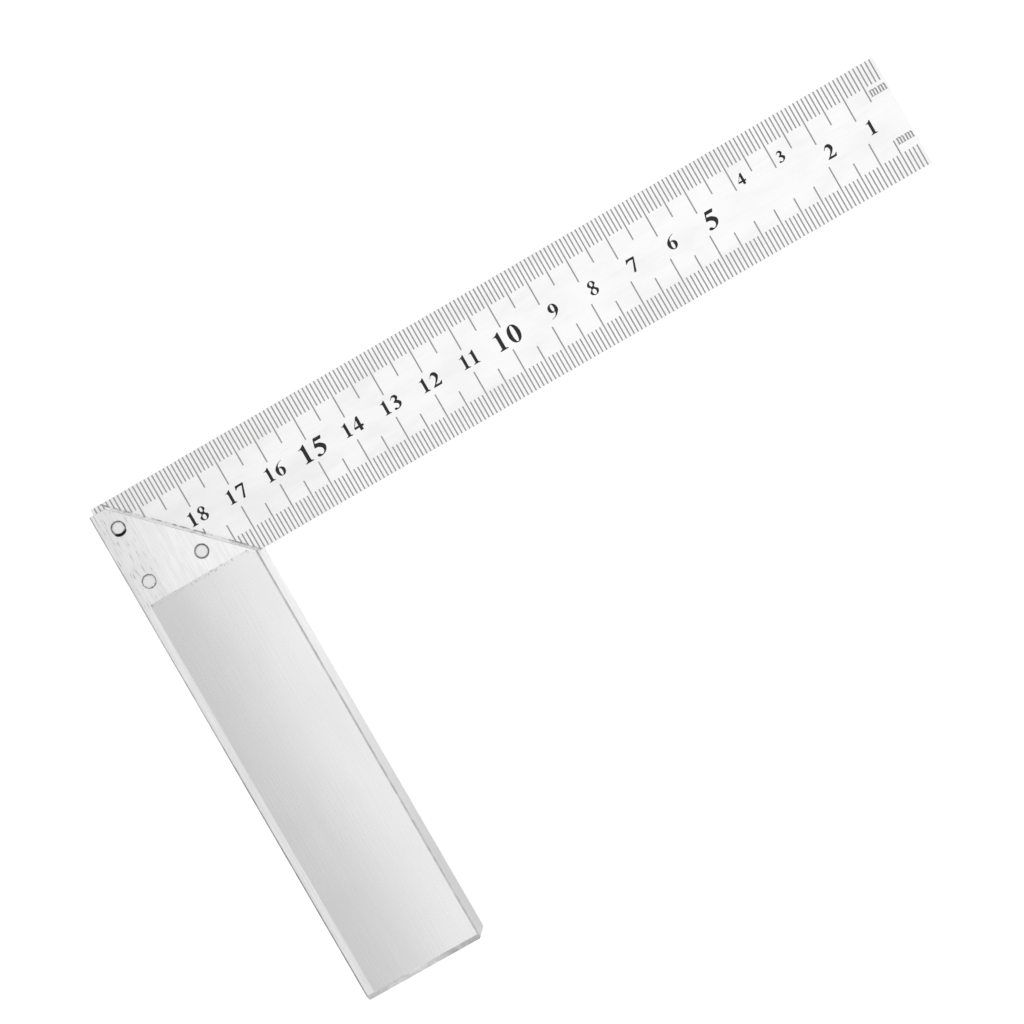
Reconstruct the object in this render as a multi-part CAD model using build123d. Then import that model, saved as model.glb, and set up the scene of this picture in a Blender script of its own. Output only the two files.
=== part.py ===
from build123d import *
import math
import os

# Try and mitre square, 200 mm, lying on the back of its stock. All sizes are in millimetres.
# A graduated steel blade sits in the slot of an aluminium stock and three rivets hold it there.
#
# Origin: the inside corner, where the stock's inner face meets the blade's inner edge, halfway
# through the blade's thickness. +X runs along the blade to its free end, +Y runs across the
# blade to its outer edge, and +Z is normal to the blade. The stock runs along -Y.

# Blade
blade_length = 200.0  # from the stock's outer face to the free end
blade_width = 26.7
blade_thickness = 1.0
blade_edge_break = 0.1
blade_proud = 1.7  # how far the outer edge stands above the stock's top

# Stock
stock_thickness = 12.0
inner_face_length = 99.4  # from the inside corner to the butt end
top_land = 4.2  # flat left on the stock's top beside the 45 degree cut
mitre_above_corner = 0.2  # where the 45 degree cut starts on the inner face
long_edge_break = 0.4
head_edge_break = 0.1
butt_bevel = 1.4
butt_corner_cut = 0.5

# Slot that holds the blade
slot_side_clearance = 0.05
slot_floor_clearance = 0.05

# Rivets
rivet_diameter = 3.0
rivet_fit = 0.02  # radial clearance in the stock and in the blade
rivet_end_break = 0.1
rivet_mouth_break = 0.15
rivet_to_outer_face = 4.6
rivet_above_corner = 6.2
rivet_to_mitre = 3.4  # square to the 45 degree cut

# Label plate stuck to the stock's front face
plate_thickness = 0.15
plate_to_outer_face = 2.15
plate_above_corner = 1.5
plate_to_mitre = 0.5  # square to the 45 degree cut
plate_edge_gap = 0.05  # left beside the broken edges
plate_corner_radius = 0.3

# Sizes that follow
blade_in_stock = blade_width - blade_proud
stock_width = blade_in_stock - mitre_above_corner + top_land
outer_x = -stock_width
free_end_x = outer_x + blade_length
stock_top_y = blade_in_stock
butt_y = -inner_face_length
face_z = stock_thickness / 2

# The 45 degree cut lies on x + y = mitre_above_corner, and x + y falls by sqrt(2) for each
# millimetre behind it.
rivet_sum = mitre_above_corner - rivet_to_mitre * math.sqrt(2)
rivet_outer_x = outer_x + rivet_to_outer_face
rivet_places = {
    "rivet_outer": (rivet_outer_x, rivet_sum - rivet_outer_x),
    "rivet_heel": (rivet_outer_x, rivet_above_corner),
    "rivet_inner": (rivet_sum - rivet_above_corner, rivet_above_corner),
}
rivet_hole_radius = rivet_diameter / 2 + rivet_fit

plate_sum = mitre_above_corner - plate_to_mitre * math.sqrt(2)
plate_left = outer_x + plate_to_outer_face
plate_right = -(long_edge_break + plate_edge_gap)
plate_top = plate_above_corner
plate_bottom = butt_y + butt_bevel + plate_edge_gap


def block(low, high):
    """A box between two opposite corners."""
    size = [b - a for a, b in zip(low, high)]
    middle = [(a + b) / 2 for a, b in zip(low, high)]
    return Pos(*middle) * Box(*size)


def prism(corners, height):
    """A plate on the XY plane, standing on the closed outline through the corners."""
    outline = make_face(Polyline(*corners, close=True).edges())
    return extrude(outline, amount=height)


def big_face_edges(part):
    """The edges round the lowest and the highest face."""
    levels = part.faces().filter_by(Axis.Z).sort_by(Axis.Z)
    return levels[0].edges() + levels[-1].edges()


def rivet_drills():
    """One round cutter through everything at each rivet."""
    return [
        Pos(x, y, 0) * Cylinder(rivet_hole_radius, 2 * stock_thickness)
        for x, y in rivet_places.values()
    ]


def rivet_mouths(part):
    """The round edges of the rivet holes on the two big faces."""
    edges = part.edges().filter_by(GeomType.CIRCLE)
    return edges.filter_by(lambda edge: abs(abs(edge.arc_center.Z) - face_z) < 1e-6)


def make_blade():
    strip = block(
        (outer_x, 0, -blade_thickness / 2),
        (free_end_x, blade_width, blade_thickness / 2),
    )
    strip = chamfer(big_face_edges(strip), blade_edge_break)
    return strip - rivet_drills()


def make_bar():
    """The stock's outer shape: its outline, with the head, long and butt edges broken."""
    corners = [
        (outer_x, stock_top_y),
        (outer_x + top_land, stock_top_y),
        (0, mitre_above_corner),
        (0, butt_y + butt_corner_cut),
        (-butt_corner_cut, butt_y),
        (outer_x, butt_y),
    ]
    bar = Pos(0, 0, -face_z) * prism(corners, stock_thickness)
    head_edges = big_face_edges(bar).filter_by(lambda edge: edge.center().Y > 0)
    bar = chamfer(head_edges, head_edge_break)

    long_envelope = block((outer_x, butt_y, -face_z), (0, stock_top_y, face_z))
    long_envelope = chamfer(long_envelope.edges().filter_by(Axis.Y), long_edge_break)
    butt_envelope = block((2 * outer_x, butt_y, -face_z), (stock_width, 2 * stock_top_y, face_z))
    butt_edges = butt_envelope.edges().filter_by(Axis.X).group_by(Axis.Y)[0]
    return bar & long_envelope & chamfer(butt_edges, butt_bevel)


def make_stock():
    slot_half = blade_thickness / 2 + slot_side_clearance
    slot = block(
        (2 * outer_x, -slot_floor_clearance, -slot_half),
        (stock_width, 2 * stock_top_y, slot_half),
    )
    bar = make_bar() - slot - rivet_drills()
    return chamfer(rivet_mouths(bar), rivet_mouth_break)


def make_rivet(x, y):
    pin = Cylinder(rivet_diameter / 2, stock_thickness)
    pin = chamfer(pin.edges().filter_by(GeomType.CIRCLE), rivet_end_break)
    return Pos(x, y, 0) * pin


def make_label_plate():
    corners = [
        (plate_left, plate_top),
        (plate_sum - plate_top, plate_top),
        (plate_right, plate_sum - plate_right),
        (plate_right, plate_bottom),
        (plate_left, plate_bottom),
    ]
    plate = Pos(0, 0, face_z) * prism(corners, plate_thickness)
    return fillet(plate.edges().filter_by(Axis.Z), plate_corner_radius)


pieces = {
    "blade": make_blade(),
    "stock": make_stock(),
    "label_plate": make_label_plate(),
}
for name, (x, y) in rivet_places.items():
    pieces[name] = make_rivet(x, y)

os.makedirs("parts", exist_ok=True)
for name, shape in pieces.items():
    export_step(shape, f"parts/{name}.step")
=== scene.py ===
import math

import bmesh
import bpy
from mathutils import Matrix, Vector


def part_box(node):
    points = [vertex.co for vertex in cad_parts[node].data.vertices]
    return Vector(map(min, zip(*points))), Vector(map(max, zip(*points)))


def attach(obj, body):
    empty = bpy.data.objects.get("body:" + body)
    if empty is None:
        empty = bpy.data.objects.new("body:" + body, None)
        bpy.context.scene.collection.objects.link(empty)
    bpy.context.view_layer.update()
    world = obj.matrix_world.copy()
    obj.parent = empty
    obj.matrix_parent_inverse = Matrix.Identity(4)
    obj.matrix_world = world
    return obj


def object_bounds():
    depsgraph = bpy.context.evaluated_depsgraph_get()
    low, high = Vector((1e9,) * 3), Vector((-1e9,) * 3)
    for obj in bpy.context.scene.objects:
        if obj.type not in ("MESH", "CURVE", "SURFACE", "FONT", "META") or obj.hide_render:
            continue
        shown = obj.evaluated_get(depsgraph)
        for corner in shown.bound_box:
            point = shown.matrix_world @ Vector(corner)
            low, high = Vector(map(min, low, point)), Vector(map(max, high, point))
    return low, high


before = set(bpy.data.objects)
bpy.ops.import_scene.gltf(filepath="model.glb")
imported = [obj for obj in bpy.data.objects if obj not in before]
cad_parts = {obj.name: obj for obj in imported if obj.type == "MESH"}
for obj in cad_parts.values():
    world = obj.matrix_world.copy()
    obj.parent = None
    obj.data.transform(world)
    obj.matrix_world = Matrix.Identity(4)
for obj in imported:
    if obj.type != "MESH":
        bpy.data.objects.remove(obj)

# The looks of a 200 mm try and mitre square: metal finishes for the CAD nodes, the blade's
# millimetre scale and numbers on both faces, a pale floor, soft studio light and the camera.
# Everything is in metres in the CAD frame: +X along the blade, the stock along -Y, +Z up.

MM = 0.001
cad_low, cad_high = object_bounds()
blade_low, blade_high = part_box("blade")
stock_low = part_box("stock")[0]
plate_low, plate_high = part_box("label_plate")
mitre_sum = 0.2 * MM  # x + y everywhere on the stock's 45 degree cut


# ---------------------------------------------------------------- node helpers

WHITE = (1, 1, 1, 1)
NOISE_SPAN = (0.3, 0.7)  # nearly all of a noise lies between these two


class Nodes:
    """A material's node tree, with short ways to add what the finishes share."""

    def __init__(self, name):
        self.material = bpy.data.materials.new(name)
        self.material.use_nodes = True
        self.tree = self.material.node_tree
        self.shader = self.tree.nodes["Principled BSDF"]
        self.coordinates = self.add("ShaderNodeTexCoord")
        self.place = self.coordinates.outputs["Object"]

    def add(self, kind, **settings):
        """Adds a node of that kind with those settings."""
        node = self.tree.nodes.new(kind)
        for key, value in settings.items():
            setattr(node, key, value)
        return node

    def feed(self, socket, value):
        """Sets a socket to a constant, or links another socket into it."""
        if isinstance(value, bpy.types.NodeSocket):
            self.tree.links.new(value, socket)
        else:
            socket.default_value = value

    def surface(self, tone, roughness, normal, metallic=1.0):
        """Gives the shader a grey tone, a roughness and a bumped normal."""
        self.feed(self.shader.inputs["Metallic"], metallic)
        self.feed(self.shader.inputs["Base Color"], self.grey(tone))
        self.feed(self.shader.inputs["Roughness"], roughness)
        self.feed(self.shader.inputs["Normal"], normal)
        return self.material

    def math(self, operation, *values):
        """One arithmetic node, fed with constants or sockets."""
        node = self.add("ShaderNodeMath", operation=operation)
        for socket, value in zip(node.inputs, values):
            self.feed(socket, value)
        return node.outputs[0]

    def plus(self, first, second):
        return self.math("ADD", first, second)

    def product(self, *values):
        total = values[0]
        for value in values[1:]:
            total = self.math("MULTIPLY", total, value)
        return total

    def darkening(self, share):
        """The factor that takes that share away from a tone."""
        return self.math("SUBTRACT", 1.0, share)

    def noise(self, cell, detail, roughness=0.6, offset=0.0):
        """Noise between about 0.2 and 0.8 whose features are cell = (x, y, z) millimetres long."""
        mapping = self.add("ShaderNodeMapping")
        self.feed(mapping.inputs["Vector"], self.place)
        mapping.inputs["Location"].default_value = (offset, offset, offset)
        mapping.inputs["Scale"].default_value = [1 / (size * MM) for size in cell]
        noise = self.add("ShaderNodeTexNoise")
        self.feed(noise.inputs["Vector"], mapping.outputs[0])
        noise.inputs["Scale"].default_value = 1.0
        noise.inputs["Detail"].default_value = detail
        noise.inputs["Roughness"].default_value = roughness
        return noise.outputs["Fac"]

    def band(self, value, low, high, to_low, to_high):
        """Maps low..high smoothly to to_low..to_high."""
        node = self.add("ShaderNodeMapRange", interpolation_type="SMOOTHSTEP")
        for socket, number in zip(node.inputs, (value, low, high, to_low, to_high)):
            self.feed(socket, number)
        return node.outputs[0]

    def rise(self, value, low, high):
        """0 below low, 1 above high."""
        return self.band(value, low, high, 0.0, 1.0)

    def fall(self, value, low, high):
        """1 below low, 0 above high."""
        return self.band(value, low, high, 1.0, 0.0)

    def vary(self, noise, lowest, highest):
        """Spreads a noise over lowest..highest."""
        return self.band(noise, *NOISE_SPAN, lowest, highest)

    def axis(self, name):
        """The X, Y or Z of the point being shaded, in metres."""
        split = self.add("ShaderNodeSeparateXYZ")
        self.feed(split.inputs[0], self.place)
        return split.outputs[name]

    def facing(self, name):
        """The X, Y or Z part of the surface's normal."""
        split = self.add("ShaderNodeSeparateXYZ")
        self.feed(split.inputs[0], self.coordinates.outputs["Normal"])
        return split.outputs[name]

    def leans_back(self, name):
        """1 where the surface leans towards the negative side of the axis, 0 elsewhere."""
        return self.fall(self.facing(name), -0.6, -0.3)

    def grey(self, value):
        """A neutral colour of that brightness."""
        node = self.add("ShaderNodeCombineColor")
        for socket in node.inputs[:3]:
            self.feed(socket, value)
        return node.outputs[0]

    def bump(self, height, depth, below=None):
        """A normal bumped by height, depth millimetres deep, on top of the one below."""
        node = self.add("ShaderNodeBump")
        node.inputs["Strength"].default_value = 1.0
        node.inputs["Distance"].default_value = depth * MM
        self.feed(node.inputs["Height"], height)
        if below is not None:
            self.feed(node.inputs["Normal"], below)
        return node.outputs[0]

    def distance(self, x, y):
        """How far the shaded point is, in plan, from the upright line through (x, y)."""
        step_x = self.math("SUBTRACT", self.axis("X"), x)
        step_y = self.math("SUBTRACT", self.axis("Y"), y)
        square = self.plus(self.product(step_x, step_x), self.product(step_y, step_y))
        return self.math("SQRT", square)


# ---------------------------------------------------------------- finishes

def blade_finish():
    steel_tones = (0.875, 0.905)
    smudge_tones = (0.0, -0.02)
    steel_roughness = (0.27, 0.36)
    smudge_roughness = (0.0, 0.06)
    brushing_depth = 0.0012
    fine_depth = 0.0006
    n = Nodes("blade_satin_steel")
    brushing = n.noise((30, 0.16, 30), detail=4)
    fine = n.noise((9, 0.05, 9), detail=2, offset=3)
    smudge = n.noise((16, 7, 16), detail=3, offset=11)
    tone = n.plus(n.vary(brushing, *steel_tones), n.band(smudge, 0.4, 0.75, *smudge_tones))
    smear = n.band(smudge, 0.35, 0.7, *smudge_roughness)
    roughness = n.plus(n.vary(fine, *steel_roughness), smear)
    normal = n.bump(brushing, brushing_depth, n.bump(fine, fine_depth))
    # The blade's tone carries a painted shadow along the foot of the stock's cut.
    return n.surface(n.product(tone, mitre_grime(n)), roughness, normal)


def mitre_grime(n):
    """Painted shadow: a thin, broken dark line on the blade along the foot of the 45 degree cut, where the
    stock meets it.
    """
    line_starts = (-0.3 * MM, -0.1 * MM)
    line_ends = (0.20 * MM, 0.42 * MM)
    faint_to_dark = (0.05, 0.75)
    across = n.math("SUBTRACT", n.plus(n.axis("X"), n.axis("Y")), mitre_sum)
    line = n.product(n.rise(across, *line_starts), n.fall(across, *line_ends))
    breaks = n.noise((1.3, 1.3, 1.3), detail=3, offset=17)
    return n.darkening(n.product(line, n.band(breaks, 0.38, 0.66, *faint_to_dark)))


def stock_finish():
    ground_tones = (0.82, 0.95)
    patch_tones = (-0.02, 0.03)
    painted_light_left_to_right = (0.94, 1.06)
    brightest = 0.99
    ground_roughness = (0.30, 0.46)
    coarse_depth = 0.004
    fine_depth = 0.0015
    n = Nodes("stock_ground_aluminium")
    coarse = n.noise((0.22, 11, 0.22), detail=5, roughness=0.7)
    fine = n.noise((0.09, 5, 0.09), detail=3, offset=5)
    patches = n.noise((6, 14, 6), detail=2, offset=9)
    ground = n.plus(n.vary(coarse, *ground_tones), n.vary(patches, *patch_tones))
    # Painted light: the stock's tone brightens from the outer edge across the face towards the inner side.
    across = n.band(n.axis("X"), stock_low.x, stock_low.x / 3, *painted_light_left_to_right)
    # side_shade and edge_shade paint shade into the stock's tone.
    tone = n.product(ground, across, side_shade(n), edge_shade(n), scratches(n), all_rivet_grime(n))
    # The cut's painted highlight is multiplied into the tone here.
    tone = n.math("MINIMUM", n.product(tone, cut_shine(n)), brightest)
    normal = n.bump(coarse, coarse_depth, n.bump(fine, fine_depth))
    return n.surface(tone, n.vary(fine, *ground_roughness), normal)


def cut_shine(n):
    """Painted highlight: the 45 degree cut's tone is raised above that of the ground faces."""
    on_the_cut = (1.2, 1.38)  # X + Y of the cut's normal is 1.41, and 1 on the sides
    painted_brightening = 1.3
    return n.band(n.plus(n.facing("X"), n.facing("Y")), *on_the_cut, 1.0, painted_brightening)


def side_shade(n):
    """Painted shade: the inner side is darker towards the butt."""
    shade_at_butt = 0.46
    shade_at_blade = 0.18
    side = n.rise(n.facing("X"), 0.8, 0.95)
    painted_shade_share = n.band(n.axis("Y"), stock_low.y, 0.0, shade_at_butt, shade_at_blade)
    return n.darkening(n.product(side, painted_shade_share))


def edge_shade(n):
    """Painted shade: the broken edges, at 45 degrees to the big faces, are darker than the faces, by an
    amount that varies in patches.

    The outer one darkens further towards the butt, and the butt's beside the inner side.
    """
    all_edges = 0.24
    uneven_shade_range = (0.0, 0.16)
    outer_from_y, outer_to_y = -60 * MM, -10 * MM
    outer_shades = (0.32, 0.12)
    butt_from_x, butt_to_x = -13 * MM, -8 * MM
    butt_shades = (0.0, 0.18)
    steep = n.math("ABSOLUTE", n.facing("Z"))
    edge = n.product(n.rise(steep, 0.4, 0.6), n.fall(steep, 0.82, 0.95))
    # The painted shade on the edges varies in patches along them.
    uneven_shade = n.band(n.noise((2.5, 2.5, 2.5), detail=3, offset=21), 0.35, 0.65, *uneven_shade_range)
    outer_shade = n.band(n.axis("Y"), outer_from_y, outer_to_y, *outer_shades)
    butt_shade = n.band(n.axis("X"), butt_from_x, butt_to_x, *butt_shades)
    outer = n.product(n.leans_back("X"), outer_shade)
    butt = n.product(n.leans_back("Y"), butt_shade)
    darker = n.plus(n.plus(all_edges, uneven_shade), n.plus(outer, butt))
    return n.darkening(n.product(edge, darker))


def scratches(n):
    """Short dark scratches along the stock, most of them on the head beside the outer edge."""
    depths = (0.0, 0.62)
    head_from_y, head_to_y = 0.0, 3 * MM
    edge_to_x, rest_from_x = stock_low.x + 5 * MM, stock_low.x + 10 * MM
    amounts = (1.0, 0.12)
    marks = n.band(n.noise((0.24, 3.6, 0.24), detail=4, offset=31), 0.57, 0.70, *depths)
    on_head = n.rise(n.axis("Y"), head_from_y, head_to_y)
    beside_edge = n.band(n.axis("X"), edge_to_x, rest_from_x, *amounts)
    return n.darkening(n.product(marks, on_head, beside_edge))


def ring_grime(n, node, depth, broken, low_side):
    """Dirt round one rivet: a dark ring, broken by noise, and heavier on the side towards -Y."""
    ring_starts = (-0.42 * MM, -0.20 * MM)  # from the rivet's rim
    ring_ends = (0.18 * MM, 0.36 * MM)
    wider_side = (-1.5 * MM, -0.6 * MM)  # along Y from the rivet's middle
    darker_side = (-1.5 * MM, -0.7 * MM)
    widening = low_side * 0.12 * MM
    darkest = 0.96
    low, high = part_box(node)
    centre = (low + high) / 2
    away = n.math("SUBTRACT", n.distance(centre.x, centre.y), (high.x - low.x) / 2)
    up = n.math("SUBTRACT", n.axis("Y"), centre.y)
    outside = n.math("SUBTRACT", away, n.band(up, *wider_side, widening, 0.0))
    ring = n.product(n.rise(away, *ring_starts), n.fall(outside, *ring_ends))
    patchy = n.band(n.noise((0.9, 0.9, 0.9), detail=3, offset=41), 0.42, 0.58, 1.0 - broken, 1.0)
    shade = n.plus(n.product(patchy, depth), n.band(up, *darker_side, low_side, 0.0))
    return n.darkening(n.math("MINIMUM", n.product(ring, shade), darkest))


def all_rivet_grime(n):
    return n.product(
        ring_grime(n, "rivet_outer", depth=0.50, broken=0.5, low_side=1.0),
        ring_grime(n, "rivet_heel", depth=0.40, broken=1.0, low_side=0.0),
        ring_grime(n, "rivet_inner", depth=0.45, broken=0.4, low_side=0.1),
    )


def plate_finish():
    painted_light_left_to_right = (0.62, 0.80)
    brushing_tones = (-0.006, 0.006)
    cloud_tones = (-0.012, 0.012)
    plate_roughness = (0.26, 0.32)
    brushing_depth = 0.0003
    n = Nodes("plate_brushed_aluminium")
    brushing = n.noise((0.14, 40, 0.14), detail=3)
    clouds = n.noise((14, 30, 14), detail=2, offset=13)
    # Painted light: the plate's tone brightens from its left edge to its right.
    across = n.band(n.axis("X"), plate_low.x, plate_high.x, *painted_light_left_to_right)
    tone = n.plus(across, n.vary(brushing, *brushing_tones))
    tone = n.plus(tone, n.band(clouds, 0.35, 0.65, *cloud_tones))
    roughness = n.vary(brushing, *plate_roughness)
    return n.surface(n.product(tone, top_edge_flecks(n)), roughness, n.bump(brushing, brushing_depth))


def top_edge_flecks(n):
    """Small dark flecks of dirt along the plate's top edge."""
    strip_from_y, strip_to_y = 0.4 * MM, 1.3 * MM
    depths = (0.0, 0.40)
    near = n.rise(n.axis("Y"), strip_from_y, strip_to_y)
    spots = n.band(n.noise((0.45, 0.9, 0.45), detail=4, offset=51), 0.50, 0.66, *depths)
    return n.darkening(n.product(near, spots))


def rivet_finish():
    rivet_tones = (0.76, 0.88)
    rivet_roughness = (0.28, 0.42)
    grinding_depth = 0.003
    n = Nodes("rivet_ground_aluminium")
    grinding = n.noise((0.2, 6, 0.2), detail=4)
    tone = n.product(n.vary(grinding, *rivet_tones), all_rivet_grime(n))
    return n.surface(tone, n.vary(grinding, *rivet_roughness), n.bump(grinding, grinding_depth))


def ink_finish(name, darkest, lightest):
    ink_roughness = (0.55, 0.7)
    speckle_depth = 0.001
    n = Nodes(name)
    speckle = n.noise((0.2, 0.2, 0.2), detail=2)
    tone = n.vary(speckle, darkest, lightest)
    roughness = n.vary(speckle, *ink_roughness)
    return n.surface(tone, roughness, n.bump(speckle, speckle_depth), metallic=0.0)


def floor_finish():
    paper_tones = (0.90, 0.92)
    paper_roughness = 0.8
    glow = 0.50
    n = Nodes("floor_white_paper")
    tooth = n.noise((0.6, 0.6, 0.6), detail=2)
    n.feed(n.shader.inputs["Base Color"], n.grey(n.vary(tooth, *paper_tones)))
    n.feed(n.shader.inputs["Roughness"], paper_roughness)
    n.feed(n.shader.inputs["Specular IOR Level"], 0.0)
    n.feed(n.shader.inputs["Emission Color"], WHITE)
    n.feed(n.shader.inputs["Emission Strength"], glow)
    return n.material


# ---------------------------------------------------------------- the blade's scale

scale_length = 200
tick_width = 0.32 * MM
tick_lengths = {10: 10.55 * MM, 5: 8.5 * MM, 1: 5.2 * MM}
shortened_readings = (30, 40)  # their lines at the inner edge are as short as a 5 mm line
tick_from_edge = 0.12 * MM
ink_proud = 0.012 * MM
ink_sunk = 0.004 * MM
scale_middle_y = (blade_low.y + blade_high.y) / 2
turn_over = Matrix.Translation((0, 2 * scale_middle_y, 0)) @ Matrix.Rotation(math.pi, 4, "X")

# Outlines of the numerals and of the m, in hundredths of their height. A point marked "c" is a
# corner and the others are smooth. Four bare numbers are an oval: its middle, half its width and
# half its height. The first outline of each glyph is filled and the rest are holes in it.
GLYPH_HEIGHT = 100
GLYPHS = {
    "0": [(32, 50, 31, 50), (32, 50, 10.5, 45)],
    "1": [
        [(12, 0, "c"), (56, 0, "c"), (56, 3, "c"), (44, 10, "c"), (44, 100, "c"), (40, 100, "c"), (27, 89),
         (10, 83, "c"), (10, 80, "c"), (21, 80), (25, 71, "c"), (25, 10, "c"), (12, 3, "c")],
    ],
    "2": [
        [(2, 0, "c"), (57, 0, "c"), (66, 25, "c"), (62, 25, "c"), (50, 16), (22, 16, "c"), (44, 38),
         (58, 73), (33, 100), (3, 70, "c"), (7, 68, "c"), (22, 83), (37, 64), (24, 30), (2, 4, "c")],
    ],
    "3": [
        [(3, 77, "c"), (30, 100), (53, 79), (42, 59, "c"), (60, 33), (20, 0), (2, 9), (11, 17), (27, 8),
         (40, 28), (16, 50, "c"), (16, 54, "c"), (34, 74), (22, 87), (7, 75, "c")],
    ],
    "4": [
        [(41, 100, "c"), (53, 100, "c"), (53, 37, "c"), (65, 37, "c"), (65, 22, "c"), (53, 22, "c"),
         (53, 0, "c"), (33, 0, "c"), (33, 22, "c"), (2, 22, "c"), (2, 33, "c")],
        [(33, 37, "c"), (33, 76, "c"), (9, 37, "c")],
    ],
    "5": [
        [(19, 100, "c"), (61, 100, "c"), (54, 82, "c"), (21, 82, "c"), (18, 71, "c"), (42, 64), (60, 36),
         (22, 0), (2, 9), (11, 17), (28, 7), (42, 27), (28, 46), (6, 50, "c")],
    ],
    "6": [
        [(62, 100, "c"), (25, 83), (2, 38), (32, 0), (62, 32), (40, 62), (25, 57, "c"), (35, 82),
         (63, 97, "c")],
        (32, 30, 9.5, 25),
    ],
    "7": [
        [(10, 100, "c"), (64, 100, "c"), (64, 93, "c"), (37, 0, "c"), (22, 0, "c"), (50, 83, "c"), (22, 83),
         (7, 71, "c"), (3, 72, "c")],
    ],
    "8": [
        [(32, 100), (57, 78), (44, 56), (61, 28), (32, 0), (3, 24), (20, 48), (6, 75)],
        (32, 78, 9, 16), (31, 24, 12, 18.5),
    ],
    "m": [
        [(4, 0, "c"), (42, 0, "c"), (42, 6, "c"), (35, 9, "c"), (35, 74, "c"), (46, 85), (56, 74, "c"),
         (56, 9, "c"), (49, 6, "c"), (49, 0, "c"), (87, 0, "c"), (87, 6, "c"), (80, 9, "c"), (80, 74, "c"),
         (91, 85), (101, 74, "c"), (101, 9, "c"), (94, 6, "c"), (94, 0, "c"), (132, 0, "c"), (132, 6, "c"),
         (125, 9, "c"), (125, 78, "c"), (105, 100), (80, 85, "c"), (58, 100), (35, 86, "c"), (35, 98, "c"),
         (4, 96, "c"), (4, 90, "c"), (11, 86, "c"), (11, 9, "c"), (4, 6, "c")],
    ],
}
USUAL_MIDDLE = 32
OWN_MIDDLE = {"1": 34.5, "m": 68}
GLYPH_WIDEN = 1.12
OVAL_POINTS = 28


def oval(x, y, half_width, half_height):
    """A closed outline of an upright oval."""
    angles = [2 * math.pi * i / OVAL_POINTS for i in range(OVAL_POINTS)]
    return [(x + half_width * math.cos(a), y + half_height * math.sin(a), "c") for a in angles]


def glyph_mesh(outlines):
    """A closed flat solid of one glyph, a hundred units high and one unit thick, on z = 0."""
    half_thickness = 0.5
    pieces_per_curve = 8
    weld_distance = 0.02
    curve = bpy.data.curves.new("glyph", "CURVE")
    curve.dimensions = "2D"
    curve.fill_mode = "BOTH"
    curve.extrude = half_thickness
    curve.resolution_u = pieces_per_curve
    for outline in outlines:
        if isinstance(outline, tuple):
            outline = oval(*outline)
        spline = curve.splines.new("BEZIER")
        spline.bezier_points.add(len(outline) - 1)
        spline.use_cyclic_u = True
        for point, (x, y, *corner) in zip(spline.bezier_points, outline):
            point.co = (x, y, 0)
            point.handle_left_type = point.handle_right_type = "VECTOR" if corner else "AUTO"
    holder = bpy.data.objects.new("glyph", curve)
    bpy.context.scene.collection.objects.link(holder)
    bpy.context.view_layer.update()
    evaluated = holder.evaluated_get(bpy.context.evaluated_depsgraph_get())
    solid = bmesh.new()
    solid.from_mesh(bpy.data.meshes.new_from_object(evaluated))
    bmesh.ops.translate(solid, verts=solid.verts, vec=(0, 0, half_thickness))
    bmesh.ops.remove_doubles(solid, verts=solid.verts, dist=weld_distance)
    bmesh.ops.recalc_face_normals(solid, faces=solid.faces)
    mesh = bpy.data.meshes.new("glyph")
    solid.to_mesh(mesh)
    solid.free()
    bpy.data.objects.remove(holder)
    bpy.data.curves.remove(curve)
    return mesh


glyph_meshes = {name: glyph_mesh(outlines) for name, outlines in GLYPHS.items()}
turn_round = Matrix.Translation((2 * USUAL_MIDDLE, GLYPH_HEIGHT, 0)) @ Matrix.Rotation(math.pi, 4, "Z")
glyph_meshes["9"] = glyph_meshes["6"].copy()
glyph_meshes["9"].transform(turn_round)


def stamp(target, name, x, y, height, widen=GLYPH_WIDEN):
    """Adds one glyph to target, centred on (x, y), height metres high, standing on the blade's face."""
    scale = height / GLYPH_HEIGHT
    place = Matrix.Translation((x, y, blade_high.z - ink_sunk))
    place = place @ Matrix.Diagonal((widen * scale, scale, ink_proud + ink_sunk, 1))
    place = place @ Matrix.Translation((-OWN_MIDDLE.get(name, USUAL_MIDDLE), -GLYPH_HEIGHT / 2, 0))
    mesh = glyph_meshes[name].copy()
    mesh.transform(place)
    target.from_mesh(mesh)
    bpy.data.meshes.remove(mesh)


def add_bar(target, low, high):
    """Adds a closed box between two opposite corners."""
    middle = (low + high) / 2
    size = high - low
    matrix = Matrix.Translation(middle) @ Matrix.Diagonal((*size, 1))
    bmesh.ops.create_cube(target, size=1.0, matrix=matrix)


def ink_piece(name, build, face, material):
    """Makes one ink piece with build(target), on the front or turned over to the back."""
    target = bmesh.new()
    build(target)
    if face == "back":
        bmesh.ops.transform(target, matrix=turn_over, verts=target.verts)
    mesh = bpy.data.meshes.new(name)
    target.to_mesh(mesh)
    target.free()
    mesh.materials.append(material)
    piece = bpy.data.objects.new(name, mesh)
    bpy.context.scene.collection.objects.link(piece)
    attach(piece, "root")


def mark_x(millimetres):
    """Where a reading lies along the blade: the scale starts at the free end."""
    return blade_high.x - millimetres * MM


# The two "mm" marks near the free end
unit_height = 1.6 * MM
unit_widen = 0.95
unit_pitch = 2.1 * MM
unit_reading = 3.45
unit_rows = (6.5 * MM, -5.5 * MM)  # from the blade's middle


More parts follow.
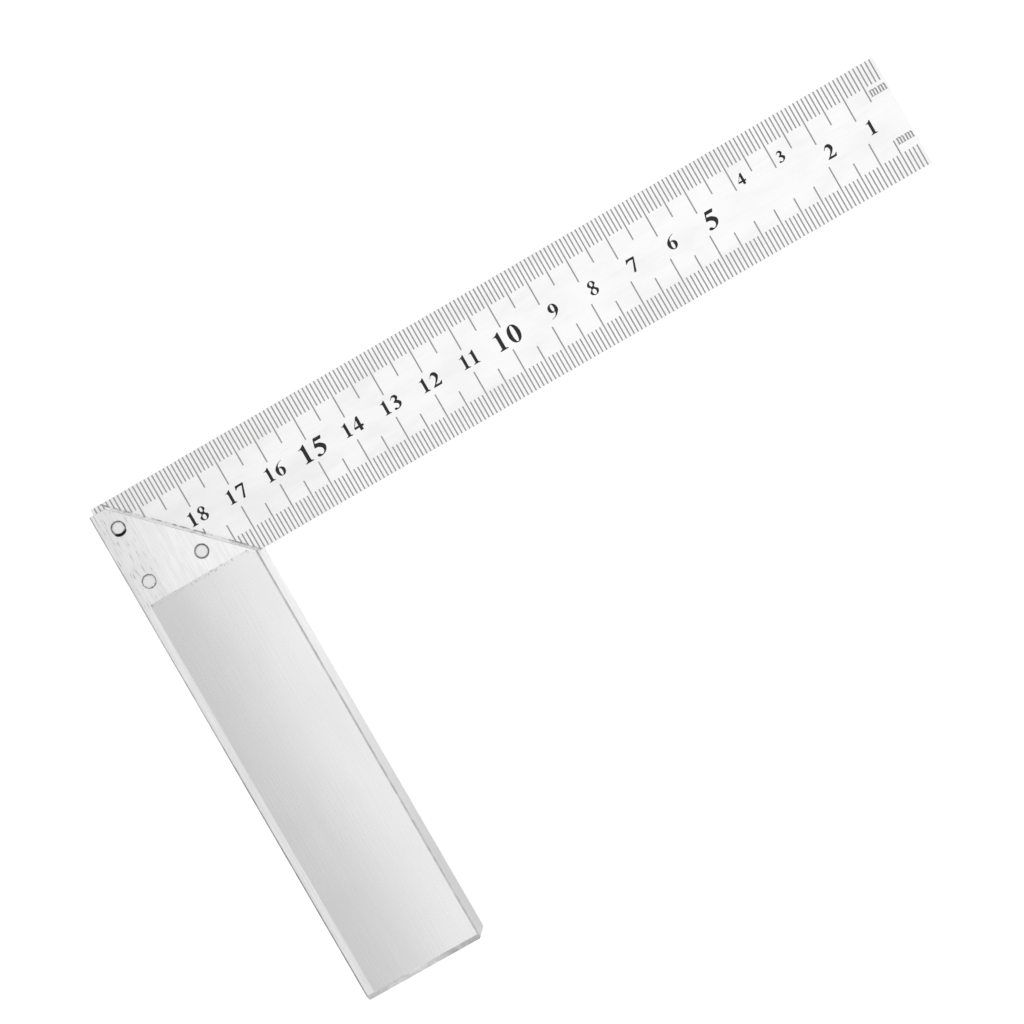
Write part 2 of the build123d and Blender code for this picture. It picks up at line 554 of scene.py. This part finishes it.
def build_lines(target):
    """The millimetre lines along both edges, and the mm marks."""
    z_low = blade_high.z - ink_sunk
    z_high = blade_high.z + ink_proud
    bottom = blade_low.y + tick_from_edge
    top = blade_high.y - tick_from_edge
    for reading in range(1, scale_length):
        step = 10 if reading % 10 == 0 else 5 if reading % 5 == 0 else 1
        length = tick_lengths[step]
        inner_length = tick_lengths[5] if reading in shortened_readings else length
        inner_end = blade_low.y + inner_length
        outer_end = blade_high.y - length
        left = mark_x(reading) - tick_width / 2
        right = left + tick_width
        add_bar(target, Vector((left, bottom, z_low)), Vector((right, inner_end, z_high)))
        add_bar(target, Vector((left, outer_end, z_low)), Vector((right, top, z_high)))
    for row in unit_rows:
        for i in range(len("mm")):
            x = mark_x(unit_reading) + i * unit_pitch
            stamp(target, "m", x, scale_middle_y + row, unit_height, unit_widen)


# The centimetre numbers: every fifth is large, and 3 and 4 are smaller and higher up
last_number = 18
raised_numbers = (3, 4)
small_height = 3.3 * MM
large_height = 4.3 * MM
raised_height = 2.65 * MM
raised_up = 4.4 * MM
single_shift = 2.05 * MM
own_shift = {1: 0.25 * MM, 2: -0.2 * MM, 11: 0.3 * MM}  # the first digit of a few stands a little off
numbers_up = 0.12 * MM
tens_shift = 1.0 * MM
units_shift = 1.72 * MM
large_tens_shift = 1.6 * MM
large_units_shift = 1.96 * MM


def build_numbers(target):
    """The centimetre numbers along the blade's middle. A single digit stands beside its line."""
    for number in range(1, last_number + 1):
        large = number % 5 == 0
        raised = number in raised_numbers
        height = large_height if large else raised_height if raised else small_height
        y = scale_middle_y + numbers_up + (raised_up if raised else 0)
        x = mark_x(10 * number)
        first_x = x + own_shift.get(number, 0)
        digits = str(number)
        if len(digits) == 1:
            stamp(target, digits, first_x + single_shift, y, height)
        else:
            stamp(target, digits[0], first_x - (large_tens_shift if large else tens_shift), y, height)
            stamp(target, digits[1], x + (large_units_shift if large else units_shift), y, height)


# ---------------------------------------------------------------- putting it together

finishes = {
    "blade": blade_finish(),
    "stock": stock_finish(),
    "label_plate": plate_finish(),
}
shared_rivet = rivet_finish()
for name in ("rivet_outer", "rivet_heel", "rivet_inner"):
    finishes[name] = shared_rivet
for name, material in finishes.items():
    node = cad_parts[name]
    node.data.materials.clear()
    node.data.materials.append(material)

line_ink = ink_finish("scale_line_fill", 0.36, 0.44)
number_ink = ink_finish("scale_number_fill", 0.004, 0.016)
for face in ("front", "back"):
    ink_piece("scale_lines_" + face, build_lines, face, line_ink)
    ink_piece("scale_numbers_" + face, build_numbers, face, number_ink)


def make_floor():
    half = 3.0
    gap = 0.02 * MM
    mesh = bpy.data.meshes.new("floor")
    z = cad_low.z - gap
    corners = [(-half, -half, z), (half, -half, z), (half, half, z), (-half, half, z)]
    mesh.from_pydata(corners, [], [(0, 1, 2, 3)])
    mesh.materials.append(floor_finish())
    floor = bpy.data.objects.new("floor", mesh)
    bpy.context.scene.collection.objects.link(floor)


def make_softbox(name, place, aim, width, depth, radiance):
    """A rectangular area light whose face has that radiance, which is its brightness in a mirror."""
    light = bpy.data.lights.new(name, "AREA")
    light.shape = "RECTANGLE"
    light.size = width
    light.size_y = depth
    light.energy = radiance * math.pi * width * depth
    lamp = bpy.data.objects.new(name, light)
    lamp.location = place
    lamp.rotation_euler = (Vector(aim) - Vector(place)).to_track_quat("-Z", "Y").to_euler()
    bpy.context.scene.collection.objects.link(lamp)


def make_world(zenith, horizon):
    """A white sky that goes from its strength at the horizon to the one overhead."""
    zenith_from = 0.7  # the upward part of a direction where the sky is as strong as overhead
    world = bpy.data.worlds.new("studio")
    bpy.context.scene.world = world
    world.use_nodes = True
    tree = world.node_tree
    direction = tree.nodes.new("ShaderNodeTexCoord")
    split = tree.nodes.new("ShaderNodeSeparateXYZ")
    ramp = tree.nodes.new("ShaderNodeMapRange")
    tree.links.new(direction.outputs["Generated"], split.inputs[0])
    tree.links.new(split.outputs["Z"], ramp.inputs[0])
    for socket, value in zip(ramp.inputs[1:], (0.0, zenith_from, horizon, zenith)):
        socket.default_value = value
    tree.nodes["Background"].inputs["Color"].default_value = WHITE
    tree.links.new(ramp.outputs[0], tree.nodes["Background"].inputs["Strength"])


camera_distance = 600.1 * MM
camera_tilt = math.radians(4.22)
camera_tilt_towards = math.radians(21.4)
camera_roll = math.radians(29.77)
camera_lens = 94.92
camera_sensor = 36
camera_clip = 0.01
aim_from_middle = Vector((-18.2, 15.75, 0)) * MM


def make_camera():
    """The photograph's viewpoint: 0.6 m away, a little off straight above, and rolled."""
    aim = (cad_low + cad_high) / 2 + aim_from_middle
    aim.z = 0
    away = Vector((
        math.sin(camera_tilt) * math.cos(camera_tilt_towards),
        math.sin(camera_tilt) * math.sin(camera_tilt_towards),
        math.cos(camera_tilt),
    ))
    right = Vector((math.cos(camera_roll), -math.sin(camera_roll), 0))
    up = away.cross(right).normalized()
    right = up.cross(away)
    turn = Matrix((right, up, away)).transposed().to_4x4()
    data = bpy.data.cameras.new("camera")
    data.lens = camera_lens
    data.sensor_width = camera_sensor
    data.clip_start = camera_clip
    camera = bpy.data.objects.new("camera", data)
    camera.matrix_world = Matrix.Translation(aim + camera_distance * away) @ turn
    bpy.context.scene.collection.objects.link(camera)
    bpy.context.scene.camera = camera


make_floor()
make_softbox(
    "overhead",
    place=(0.23, -0.02, 1.0),
    aim=(0.23, -0.02, 0),
    width=1.12,
    depth=1.2,
    radiance=0.65,
)
make_world(zenith=0.5, horizon=0.8)
make_camera()
bpy.context.scene.view_settings.view_transform = "Standard"
